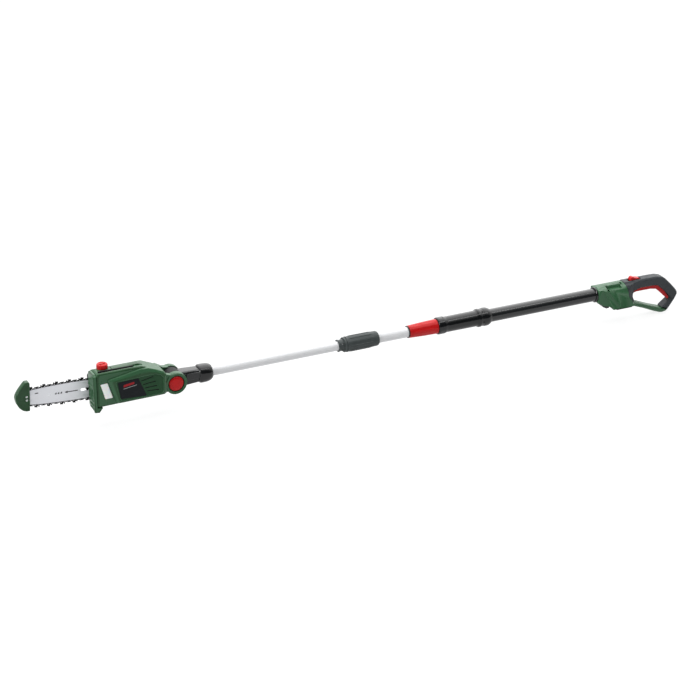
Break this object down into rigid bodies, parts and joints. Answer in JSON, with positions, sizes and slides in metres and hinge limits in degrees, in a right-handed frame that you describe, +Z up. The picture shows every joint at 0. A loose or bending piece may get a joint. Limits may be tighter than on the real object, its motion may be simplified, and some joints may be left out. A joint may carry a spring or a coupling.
{
  "type": "telescoping pole saw",
  "caption": "Cordless telescoping pole saw: tilting chainsaw head with tip guard, three nested tubes with twist clamps, and a loop handle with trigger and battery foot.",
  "frame": {"origin": "bottom centre of the bounding box, below the middle of the pole", "axes": "+X along the pole from the saw head to the loop handle, +Z up with the oil filler cap on top, -Y the side with the motor cover, +Y the side with the bar and sprocket cover"},
  "size_m": [2.148, 0.0914, 0.1908],
  "materials": {
    "green_shell": "dark green moulded housing, semi-gloss",
    "black_shell": "black moulded plastic, satin",
    "grey_sleeve": "dark grey moulded plastic, fine texture",
    "grey_grip": "dark grey soft-touch rubber, matt",
    "red_part": "red moulded plastic, semi-gloss",
    "bar_steel": "ground steel plate",
    "chain_steel": "dark blued steel",
    "steel": "zinc plated steel",
    "bright_tube": "satin anodised tube",
    "black_tube": "black anodised tube, semi-gloss",
    "white_part": "natural translucent white plastic",
    "rubber": "black rubber"
  },
  "bodies": {
    "handle": {"rear_tube": "black_tube", "front_grip": "black_shell", "rear_collet": "white_part", "rear_shell_near": "green_shell", "rear_shell_far": "green_shell", "soft_grip": "grey_grip", "front_rim": "black_shell", "trigger_pin": "steel", "trigger_spring": "steel", "switch_module": "black_shell", "battery_foot": "black_shell", "contact_block": "black_shell", "coil_lead": "rubber", "handle_screw_1": "steel", "handle_screw_2": "steel", "handle_screw_3": "steel"},
    "red_clamp": {"red_sleeve": "red_part", "red_sleeve_lip": "black_shell"},
    "middle_section": {"middle_tube": "bright_tube", "middle_tube_plug": "black_shell", "clamp_lip": "grey_sleeve", "clamp_collet": "white_part"},
    "front_clamp": {"twist_sleeve": "grey_sleeve"},
    "front_section": {"front_tube": "bright_tube", "front_tube_plug": "black_shell", "front_lead": "rubber", "neck": "black_shell", "neck_screw": "steel"},
    "saw_head": {"head_shell_near": "green_shell", "head_shell_far": "green_shell", "front_bumper": "green_shell", "motor_cover": "green_shell", "label_plate": "black_shell", "oil_window": "white_part", "top_panel": "green_shell", "oil_tank": "white_part", "sprocket_cover": "black_shell", "bar_stud": "steel", "bar_locator": "black_shell", "guide_bar": "bar_steel", "saw_chain": "chain_steel", "tip_guard": "green_shell", "guard_screw_1": "steel", "guard_screw_2": "steel", "motor_can": "steel", "shaft_bearing": "steel", "oil_pump": "black_shell", "swivel_spring": "steel"},
    "swivel_button_near": {"swivel_button_near": "red_part"},
    "swivel_button_far": {"swivel_button_far": "red_part"},
    "cap_lift": {"cap_seal": "rubber"},
    "cap_turn": {"oil_cap": "red_part"},
    "knob": {"locking_knob": "red_part"},
    "sprocket": {"drive_sprocket": "chain_steel", "drive_gear": "chain_steel", "sprocket_shaft": "steel"},
    "motor_rotor": {"motor_rotor": "steel"},
    "trigger": {"trigger": "red_part"},
    "lock_off": {"lock_off_slider": "red_part"}
  },
  "joints": [
    {"name": "red_clamp_twist", "type": "hinge", "parent": "handle", "child": "red_clamp", "pos_m": [0.1826, 0, 0.1002], "axis": [1, 0, 0], "range_deg": [0, 60]},
    {"name": "middle_slide", "type": "slide", "parent": "handle", "child": "middle_section", "axis": [-1, 0, 0], "range_m": [-0.08, 0.18]},
    {"name": "front_clamp_twist", "type": "hinge", "parent": "middle_section", "child": "front_clamp", "pos_m": [-0.0214, 0, 0.1002], "axis": [1, 0, 0], "range_deg": [0, 60]},
    {"name": "front_slide", "type": "slide", "parent": "middle_section", "child": "front_section", "axis": [-1, 0, 0], "range_m": [-0.36, 0.23]},
    {"name": "head_tilt", "type": "hinge", "parent": "front_section", "child": "saw_head", "pos_m": [-0.6174, 0, 0.1002], "axis": [0, 1, 0], "range_deg": [-45, 45]},
    {"name": "near_button", "type": "slide", "parent": "saw_head", "child": "swivel_button_near", "axis": [0, 1, 0], "range_m": [0, 0.004], "stiffness_N_per_m": 800, "springref_m": -0.003, "deforming": ["swivel_spring"]},
    {"name": "far_button", "type": "slide", "parent": "saw_head", "child": "swivel_button_far", "axis": [0, -1, 0], "range_m": [0, 0.004], "stiffness_N_per_m": 800, "springref_m": -0.003},
    {"name": "cap_rise", "type": "slide", "parent": "saw_head", "child": "cap_lift", "axis": [0, 0, 1], "range_m": [0, 0.012]},
    {"name": "cap_unscrew", "type": "hinge", "parent": "cap_lift", "child": "cap_turn", "pos_m": [-0.8234, 0, 0.1802], "axis": [0, 0, 1], "range_deg": [0, 720]},
    {"name": "knob_turn", "type": "hinge", "parent": "saw_head", "child": "knob", "pos_m": [-0.8384, 0.042, 0.1108], "axis": [0, 1, 0], "range_deg": [0, 720]},
    {"name": "sprocket_spin", "type": "hinge", "parent": "saw_head", "child": "sprocket", "pos_m": [-0.8094, 0.01, 0.1096], "axis": [0, 1, 0], "continuous": true},
    {"name": "motor_spin", "type": "hinge", "parent": "saw_head", "child": "motor_rotor", "pos_m": [-0.7724, -0.02, 0.1157], "axis": [0, 1, 0], "continuous": true},
    {"name": "trigger_pull", "type": "hinge", "parent": "handle", "child": "trigger", "pos_m": [0.9096, 0, 0.0932], "axis": [0, -1, 0], "range_deg": [0, 2.2], "stiffness_Nm_per_rad": 10, "springref_deg": -1.72, "deforming": ["trigger_spring"]},
    {"name": "lock_off_push", "type": "slide", "parent": "handle", "child": "lock_off", "axis": [-1, 0, 0], "range_m": [0, 0.004], "stiffness_N_per_m": 500, "springref_m": -0.003}
  ],
  "couplings": [
    {"joint": "cap_rise", "follows": "cap_unscrew", "m_per_rad": 0.00095493},
    {"joint": "motor_spin", "follows": "sprocket_spin", "ratio": -4}
  ]
}
